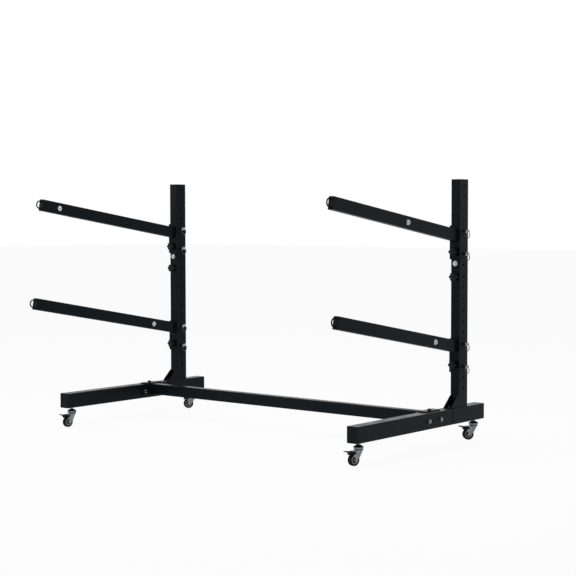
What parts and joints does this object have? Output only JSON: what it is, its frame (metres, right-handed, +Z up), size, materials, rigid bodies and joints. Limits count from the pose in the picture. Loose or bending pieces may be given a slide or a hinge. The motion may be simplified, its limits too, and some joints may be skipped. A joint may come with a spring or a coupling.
{
  "type": "freestanding kayak rack",
  "caption": "Freestanding two-tier kayak rack: wheeled feet, a crossbar, jointed posts with hole rows, and sloping arms on brackets held by locking pins.",
  "frame": {"origin": "on the floor, midway between the posts and midway between the arm tips and the back of the feet", "axes": "+X along the crossbar to the right foot, +Y from the arm tips to the posts, +Z up"},
  "size_m": [1.8213, 1.1633, 1.171],
  "materials": {
    "powder_coat": "satin black powder coat",
    "zinc": "bright zinc plating",
    "black_plastic": "moulded, matt",
    "grey_plastic": "moulded, semi-gloss",
    "rubber_tyre": "matt"
  },
  "bodies": {
    "frame": {"front_leg_left": "powder_coat", "front_leg_right": "powder_coat", "rear_foot_left": "powder_coat", "rear_foot_right": "powder_coat", "foot_splices": "powder_coat", "lower_post_left": "powder_coat", "lower_post_right": "powder_coat", "upper_post_left": "powder_coat", "upper_post_right": "powder_coat", "post_splices": "powder_coat", "gussets": "powder_coat", "tube_caps": "black_plastic", "crossbar": "powder_coat", "bar_end_brackets": "powder_coat", "bracket_upper_left": "powder_coat", "bracket_upper_right": "powder_coat", "bracket_lower_left": "powder_coat", "bracket_lower_right": "powder_coat", "arm_upper_left": "powder_coat", "arm_upper_right": "powder_coat", "arm_lower_left": "powder_coat", "arm_lower_right": "powder_coat", "arm_caps": "black_plastic", "strap_rings": "powder_coat", "bright_bolts": "zinc", "foot_bolts": "zinc", "deck_bolts": "zinc", "lock_nuts": "zinc", "caster_stems": "zinc", "swivel_caps": "black_plastic"},
    "knob_upper_left": {"knob_upper_left": "black_plastic"},
    "pin_upper_left_top": {"pin_upper_left_top": "zinc"},
    "pin_upper_left_bottom": {"pin_upper_left_bottom": "zinc"},
    "knob_upper_right": {"knob_upper_right": "black_plastic"},
    "pin_upper_right_top": {"pin_upper_right_top": "zinc"},
    "pin_upper_right_bottom": {"pin_upper_right_bottom": "zinc"},
    "knob_lower_left": {"knob_lower_left": "black_plastic"},
    "pin_lower_left_top": {"pin_lower_left_top": "zinc"},
    "pin_lower_left_bottom": {"pin_lower_left_bottom": "zinc"},
    "knob_lower_right": {"knob_lower_right": "black_plastic"},
    "pin_lower_right_top": {"pin_lower_right_top": "zinc"},
    "pin_lower_right_bottom": {"pin_lower_right_bottom": "zinc"},
    "knob_joint_left": {"knob_joint_left": "black_plastic"},
    "knob_joint_right": {"knob_joint_right": "black_plastic"},
    "caster_front_left": {"fork_front_left": "zinc"},
    "wheel_front_left": {"hub_front_left": "grey_plastic", "tyre_front_left": "rubber_tyre"},
    "brake_front_left": {"pedal_front_left": "black_plastic"},
    "caster_front_right": {"fork_front_right": "zinc"},
    "wheel_front_right": {"hub_front_right": "grey_plastic", "tyre_front_right": "rubber_tyre"},
    "brake_front_right": {"pedal_front_right": "black_plastic"},
    "caster_rear_left": {"fork_rear_left": "zinc"},
    "wheel_rear_left": {"hub_rear_left": "grey_plastic", "tyre_rear_left": "rubber_tyre"},
    "brake_rear_left": {"pedal_rear_left": "black_plastic"},
    "caster_rear_right": {"fork_rear_right": "zinc"},
    "wheel_rear_right": {"hub_rear_right": "grey_plastic", "tyre_rear_right": "rubber_tyre"},
    "brake_rear_right": {"pedal_rear_right": "black_plastic"}
  },
  "joints": [
    {"name": "turn_knob_upper_left", "type": "hinge", "parent": "frame", "child": "knob_upper_left", "pos_m": [-0.86, 0.37777, 0.852], "axis": [0, 1, 0], "range_deg": [0, 360]},
    {"name": "pull_pin_upper_left_top", "type": "slide", "parent": "frame", "child": "pin_upper_left_top", "axis": [1, 0, 0], "range_m": [0, 0.06]},
    {"name": "pull_pin_upper_left_bottom", "type": "slide", "parent": "frame", "child": "pin_upper_left_bottom", "axis": [1, 0, 0], "range_m": [0, 0.06]},
    {"name": "turn_knob_upper_right", "type": "hinge", "parent": "frame", "child": "knob_upper_right", "pos_m": [0.86, 0.37777, 0.852], "axis": [0, 1, 0], "range_deg": [0, 360]},
    {"name": "pull_pin_upper_right_top", "type": "slide", "parent": "frame", "child": "pin_upper_right_top", "axis": [1, 0, 0], "range_m": [0, 0.06]},
    {"name": "pull_pin_upper_right_bottom", "type": "slide", "parent": "frame", "child": "pin_upper_right_bottom", "axis": [1, 0, 0], "range_m": [0, 0.06]},
    {"name": "turn_knob_lower_left", "type": "hinge", "parent": "frame", "child": "knob_lower_left", "pos_m": [-0.86, 0.37777, 0.352], "axis": [0, 1, 0], "range_deg": [0, 360]},
    {"name": "pull_pin_lower_left_top", "type": "slide", "parent": "frame", "child": "pin_lower_left_top", "axis": [1, 0, 0], "range_m": [0, 0.06]},
    {"name": "pull_pin_lower_left_bottom", "type": "slide", "parent": "frame", "child": "pin_lower_left_bottom", "axis": [1, 0, 0], "range_m": [0, 0.06]},
    {"name": "turn_knob_lower_right", "type": "hinge", "parent": "frame", "child": "knob_lower_right", "pos_m": [0.86, 0.37777, 0.352], "axis": [0, 1, 0], "range_deg": [0, 360]},
    {"name": "pull_pin_lower_right_top", "type": "slide", "parent": "frame", "child": "pin_lower_right_top", "axis": [1, 0, 0], "range_m": [0, 0.06]},
    {"name": "pull_pin_lower_right_bottom", "type": "slide", "parent": "frame", "child": "pin_lower_right_bottom", "axis": [1, 0, 0], "range_m": [0, 0.06]},
    {"name": "turn_knob_joint_left", "type": "hinge", "parent": "frame", "child": "knob_joint_left", "pos_m": [-0.86, 0.38217, 0.741], "axis": [0, 1, 0], "range_deg": [0, 360]},
    {"name": "turn_knob_joint_right", "type": "hinge", "parent": "frame", "child": "knob_joint_right", "pos_m": [0.86, 0.38217, 0.741], "axis": [0, 1, 0], "range_deg": [0, 360]},
    {"name": "swivel_front_left", "type": "hinge", "parent": "frame", "child": "caster_front_left", "pos_m": [-0.86, -0.32583, 0.073], "axis": [0, 0, 1], "continuous": true},
    {"name": "roll_front_left", "type": "hinge", "parent": "caster_front_left", "child": "wheel_front_left", "pos_m": [-0.86131, -0.3508, 0.025], "axis": [0.9986, -0.0523, 0], "continuous": true},
    {"name": "press_front_left", "type": "hinge", "parent": "caster_front_left", "child": "brake_front_left", "pos_m": [-0.86167, -0.35779, 0.055], "axis": [0.9986, -0.0523, 0], "range_deg": [0, 15]},
    {"name": "swivel_front_right", "type": "hinge", "parent": "frame", "child": "caster_front_right", "pos_m": [0.86, -0.33183, 0.073], "axis": [0, 0, 1], "continuous": true},
    {"name": "roll_front_right", "type": "hinge", "parent": "caster_front_right", "child": "wheel_front_right", "pos_m": [0.85395, -0.35609, 0.025], "axis": [0.9703, -0.2419, 0], "continuous": true},
    {"name": "press_front_right", "type": "hinge", "parent": "caster_front_right", "child": "brake_front_right", "pos_m": [0.85226, -0.36288, 0.055], "axis": [0.9703, -0.2419, 0], "range_deg": [0, 15]},
    {"name": "swivel_rear_left", "type": "hinge", "parent": "frame", "child": "caster_rear_left", "pos_m": [-0.86, 0.52617, 0.073], "axis": [0, 0, 1], "continuous": true},
    {"name": "roll_rear_left", "type": "hinge", "parent": "caster_rear_left", "child": "wheel_rear_left", "pos_m": [-0.87539, 0.50647, 0.025], "axis": [0.788, -0.6157, 0], "continuous": true},
    {"name": "press_rear_left", "type": "hinge", "parent": "caster_rear_left", "child": "brake_rear_left", "pos_m": [-0.8797, 0.50095, 0.055], "axis": [0.788, -0.6157, 0], "range_deg": [0, 15]},
    {"name": "swivel_rear_right", "type": "hinge", "parent": "frame", "child": "caster_rear_right", "pos_m": [0.86, 0.53817, 0.073], "axis": [0, 0, 1], "continuous": true},
    {"name": "roll_rear_right", "type": "hinge", "parent": "caster_rear_right", "child": "wheel_rear_right", "pos_m": [0.84393, 0.51902, 0.025], "axis": [0.766, -0.6428, 0], "continuous": true},
    {"name": "press_rear_right", "type": "hinge", "parent": "caster_rear_right", "child": "brake_rear_right", "pos_m": [0.83943, 0.51366, 0.055], "axis": [0.766, -0.6428, 0], "range_deg": [0, 15]}
  ]
}
